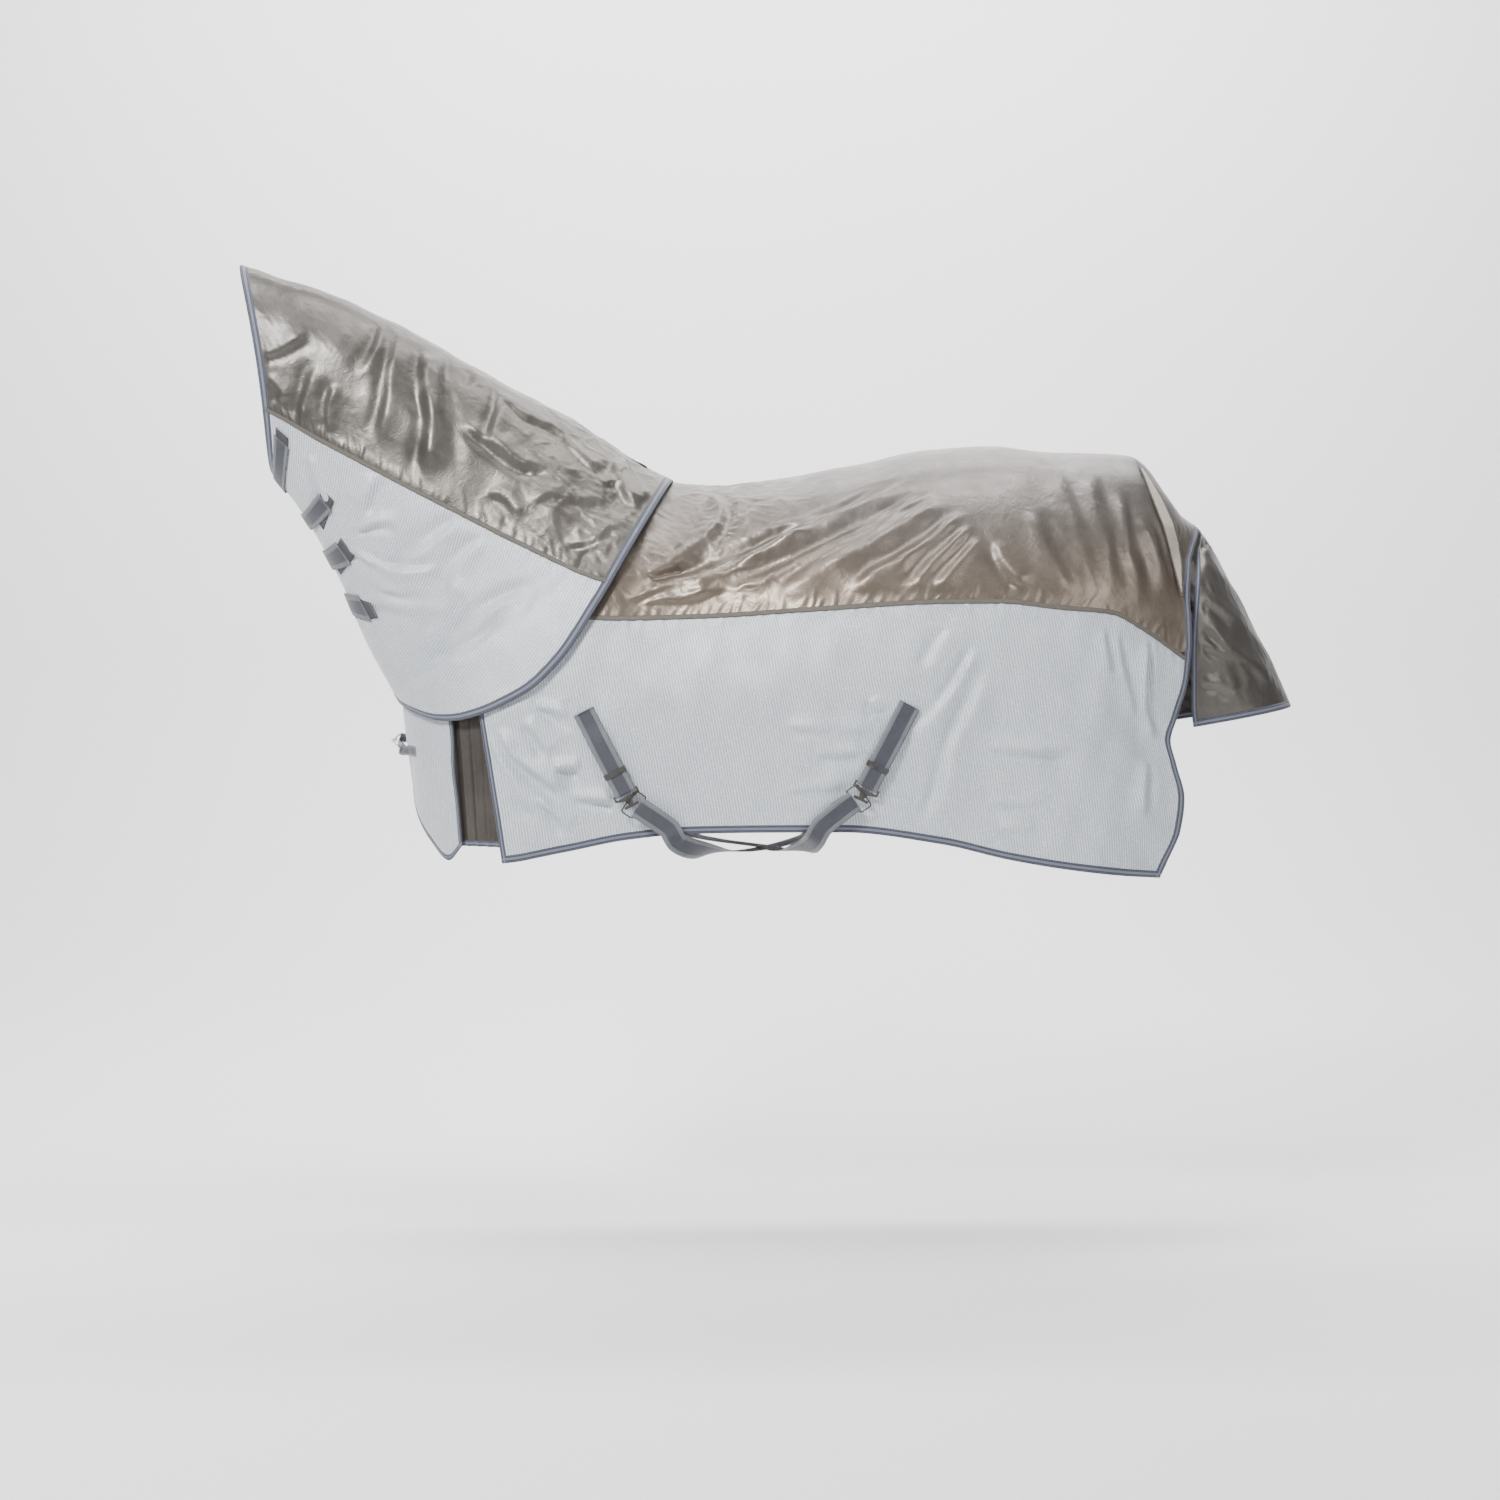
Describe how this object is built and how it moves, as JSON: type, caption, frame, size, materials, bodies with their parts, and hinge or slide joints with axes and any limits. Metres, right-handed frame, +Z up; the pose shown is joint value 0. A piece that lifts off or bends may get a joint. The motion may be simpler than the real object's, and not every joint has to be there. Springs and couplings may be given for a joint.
{
  "type": "horse fly sheet",
  "caption": "Fly sheet in its worn shape: mesh and satin body with neck cover, tail flap, chest snap, crossed belly surcingles and hook-and-loop throat straps.",
  "frame": {"origin": "at the withers on the midplane, where the neck cover's apron meets the back", "axes": "-X to the head, +X to the tail, +Z up; the horse's left side, which carries the fastenings, is -Y"},
  "size_m": [2.2996, 0.6708, 1.3194],
  "materials": {
    "taupe_satin": "satin ripstop",
    "mesh": "ribbed mesh",
    "binding": "three-stripe woven tape",
    "webbing": "woven webbing",
    "hook_and_loop": "matt",
    "pale_lining": "matt",
    "metal": "polished"
  },
  "bodies": {
    "body_sheet": {"back_panel": "taupe_satin", "chest_flap_edge_binding_left": "binding", "chest_flap_edge_binding_right": "binding", "chest_flap_left": "mesh", "chest_flap_rear_binding_left": "binding", "chest_flap_rear_binding_right": "binding", "chest_flap_right": "mesh", "chest_ring": "metal", "chest_tab_left": "webbing", "chest_tab_right": "webbing", "far_strap_front": "webbing", "far_strap_rear": "webbing", "front_edge_binding_left": "binding", "front_edge_binding_right": "binding", "gusset_hem_binding_left": "binding", "gusset_hem_binding_right": "binding", "hem_binding_left": "binding", "hem_binding_right": "binding", "panel_seam_tape_left": "taupe_satin", "panel_seam_tape_right": "taupe_satin", "rear_binding": "binding", "shoulder_gusset_left": "taupe_satin", "shoulder_gusset_right": "taupe_satin", "side_mesh_left": "mesh", "side_mesh_right": "mesh", "snap_eye": "metal", "surcingle_tab_front": "webbing", "surcingle_tab_rear": "webbing", "t_hook_front": "metal", "t_hook_rear": "metal", "tail_gusset_left": "pale_lining", "tail_gusset_right": "pale_lining"},
    "neck_cover": {"neck_upper_panel": "taupe_satin", "neck_mesh_left": "mesh", "neck_mesh_right": "mesh", "neck_seam_tape_left": "taupe_satin", "neck_seam_tape_right": "taupe_satin", "poll_binding": "binding", "apron_binding": "binding", "hook_pad_1": "hook_and_loop", "hook_pad_2": "hook_and_loop", "hook_pad_3": "hook_and_loop", "hook_pad_4": "hook_and_loop"},
    "throat_strap_1": {"throat_strap_1": "webbing"},
    "throat_strap_2": {"throat_strap_2": "webbing"},
    "throat_strap_3": {"throat_strap_3": "webbing"},
    "throat_strap_4": {"throat_strap_4": "webbing"},
    "tail_flap": {"tail_flap": "taupe_satin", "tail_flap_lower_binding": "binding", "tail_flap_side_binding_left": "binding", "tail_flap_side_binding_right": "binding"},
    "surcingle_front": {"belly_strap_front": "webbing", "receiver_front": "metal"},
    "surcingle_rear": {"belly_strap_rear": "webbing", "receiver_rear": "metal"},
    "slide_front": {"slide_front": "metal"},
    "slide_rear": {"slide_rear": "metal"},
    "snap": {"snap_hook": "metal"},
    "gate": {"snap_gate": "metal"}
  },
  "joints": [
    {"name": "neck_fold", "type": "hinge", "parent": "body_sheet", "child": "neck_cover", "pos_m": [-0.012, 0, 0.0075], "axis": [0, 1, 0], "range_deg": [0, 130]},
    {"name": "throat_strap_1_peel", "type": "hinge", "parent": "neck_cover", "child": "throat_strap_1", "pos_m": [-0.87021, 0.05373, 0.02489], "axis": [0.6595, 0.0633, -0.749], "range_deg": [0, 110]},
    {"name": "throat_strap_2_peel", "type": "hinge", "parent": "neck_cover", "child": "throat_strap_2", "pos_m": [-0.80953, 0.05992, -0.0532], "axis": [0.5782, 0.0787, -0.8121], "range_deg": [0, 110]},
    {"name": "throat_strap_3_peel", "type": "hinge", "parent": "neck_cover", "child": "throat_strap_3", "pos_m": [-0.7535, 0.06894, -0.13776], "axis": [0.5401, 0.1028, -0.8353], "range_deg": [0, 110]},
    {"name": "throat_strap_4_peel", "type": "hinge", "parent": "neck_cover", "child": "throat_strap_4", "pos_m": [-0.68413, 0.08203, -0.24952], "axis": [0.492, 0.1114, -0.8634], "range_deg": [0, 110]},
    {"name": "tail_flap_lift", "type": "hinge", "parent": "body_sheet", "child": "tail_flap", "pos_m": [1.13561, 0, -0.09772], "axis": [0, -1, 0], "range_deg": [0, 95]},
    {"name": "surcingle_front_drop", "type": "hinge", "parent": "body_sheet", "child": "surcingle_front", "pos_m": [0.33056, 0.30844, -0.76615], "axis": [1, 0, 0], "range_deg": [0, 55]},
    {"name": "surcingle_rear_drop", "type": "hinge", "parent": "body_sheet", "child": "surcingle_rear", "pos_m": [-0.04788, 0.27134, -0.76615], "axis": [1, 0, 0], "range_deg": [0, 55]},
    {"name": "slide_front_travel", "type": "slide", "parent": "body_sheet", "child": "slide_front", "axis": [-0.4613, 0.0206, 0.887], "range_m": [-0.02, 0.05]},
    {"name": "slide_rear_travel", "type": "slide", "parent": "body_sheet", "child": "slide_rear", "axis": [0.4611, -0.0311, 0.8868], "range_m": [-0.02, 0.05]},
    {"name": "snap_swivel", "type": "hinge", "parent": "body_sheet", "child": "snap", "pos_m": [-0.61401, -0.01826, -0.57337], "axis": [-0.453, 0.8053, 0.3825], "range_deg": [-20, 20]},
    {"name": "gate_open", "type": "hinge", "parent": "snap", "child": "gate", "pos_m": [-0.622, -0.0141, -0.56935], "axis": [0.3295, -0.2474, 0.9111], "range_deg": [0, 25], "stiffness_Nm_per_rad": 0.01, "springref_deg": -11.46}
  ],
  "couplings": [
    {"joint": "surcingle_rear_drop", "follows": "surcingle_front_drop", "ratio": 1}
  ]
}
